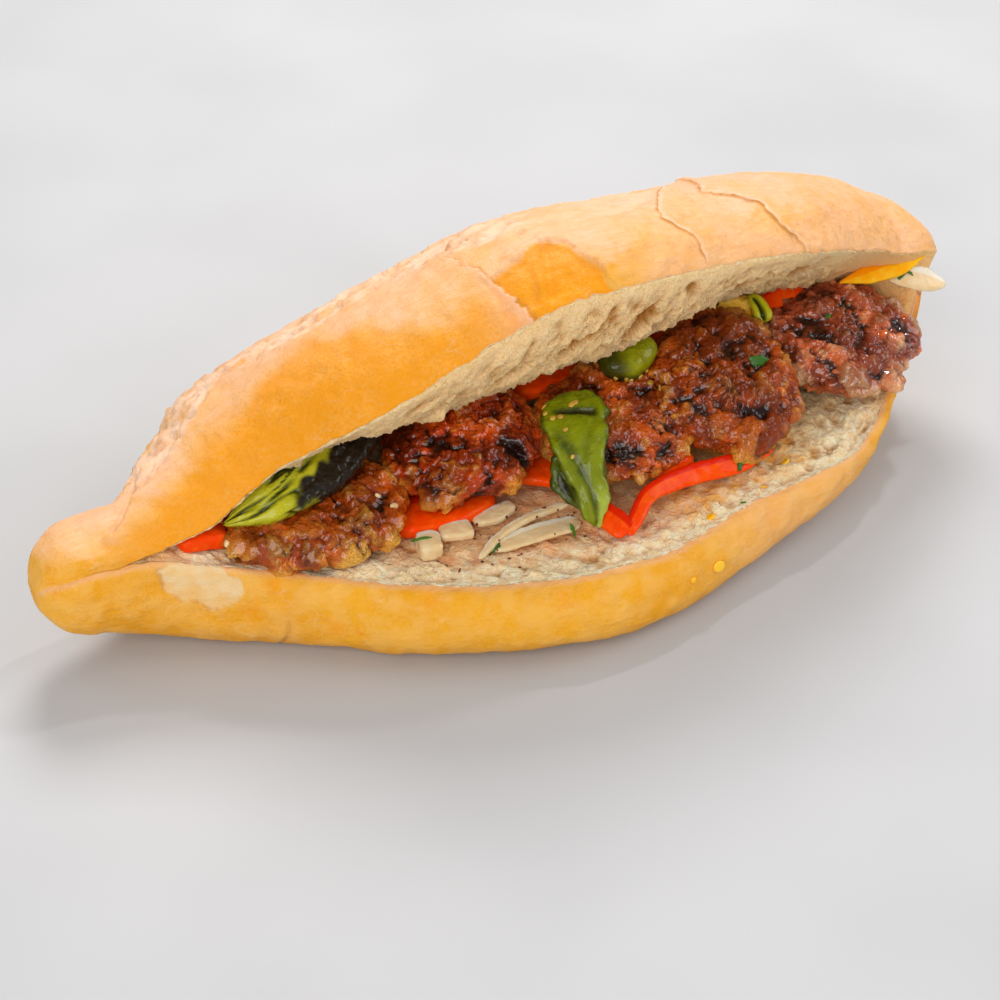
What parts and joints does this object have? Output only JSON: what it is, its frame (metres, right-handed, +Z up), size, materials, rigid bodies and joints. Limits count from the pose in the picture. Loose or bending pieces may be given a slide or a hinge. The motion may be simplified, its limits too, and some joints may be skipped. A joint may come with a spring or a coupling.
{
  "type": "kofta sandwich",
  "caption": "Pointed white loaf slit along its front and filled with a row of grilled meat patties, green pepper, tomato and onion.",
  "frame": {"origin": "on the flat bottom of the loaf, under its middle", "axes": "+X along the loaf from its round knob to its blunt tip, -Y out of the open slit, +Z up"},
  "size_m": [0.3252, 0.1406, 0.1138],
  "materials": {
    "crust": "baked wheat crust, satin, golden to pale",
    "crumb": "torn white crumb, open pores, matt",
    "grilled_meat": "grilled minced meat, coarse, glossy with fat",
    "green_pepper": "roasted green pepper, wrinkled, oily, charred in places",
    "roast_yellow_pepper": "roasted yellow pepper, soft and oily",
    "tomato": "fresh tomato, wet skin and flesh",
    "onion": "raw onion, wet and translucent",
    "parsley": "chopped leaf",
    "spice": "dry red flakes",
    "oil": "drops of yellow cooking fat"
  },
  "bodies": {
    "root": {"bread": "crust", "kofta_1": "grilled_meat", "kofta_2": "grilled_meat", "kofta_3": "grilled_meat", "kofta_4": "grilled_meat", "kofta_5": "grilled_meat", "pepper_1": "green_pepper", "pepper_2": "green_pepper", "pepper_3": "green_pepper", "pepper_4": "green_pepper", "pepper_5": "roast_yellow_pepper", "yellow_strip": "roast_yellow_pepper", "tomato_1": "tomato", "tomato_2": "tomato", "tomato_3": "tomato", "tomato_4": "tomato", "tomato_5": "tomato", "tomato_6": "tomato", "tomato_7": "tomato", "tomato_8": "tomato", "tomato_9": "tomato", "onion_1": "onion", "onion_2": "onion", "onion_3": "onion", "onion_4": "onion", "onion_5": "onion", "onion_6": "onion", "onion_7": "onion"}
  },
  "joints": []
}
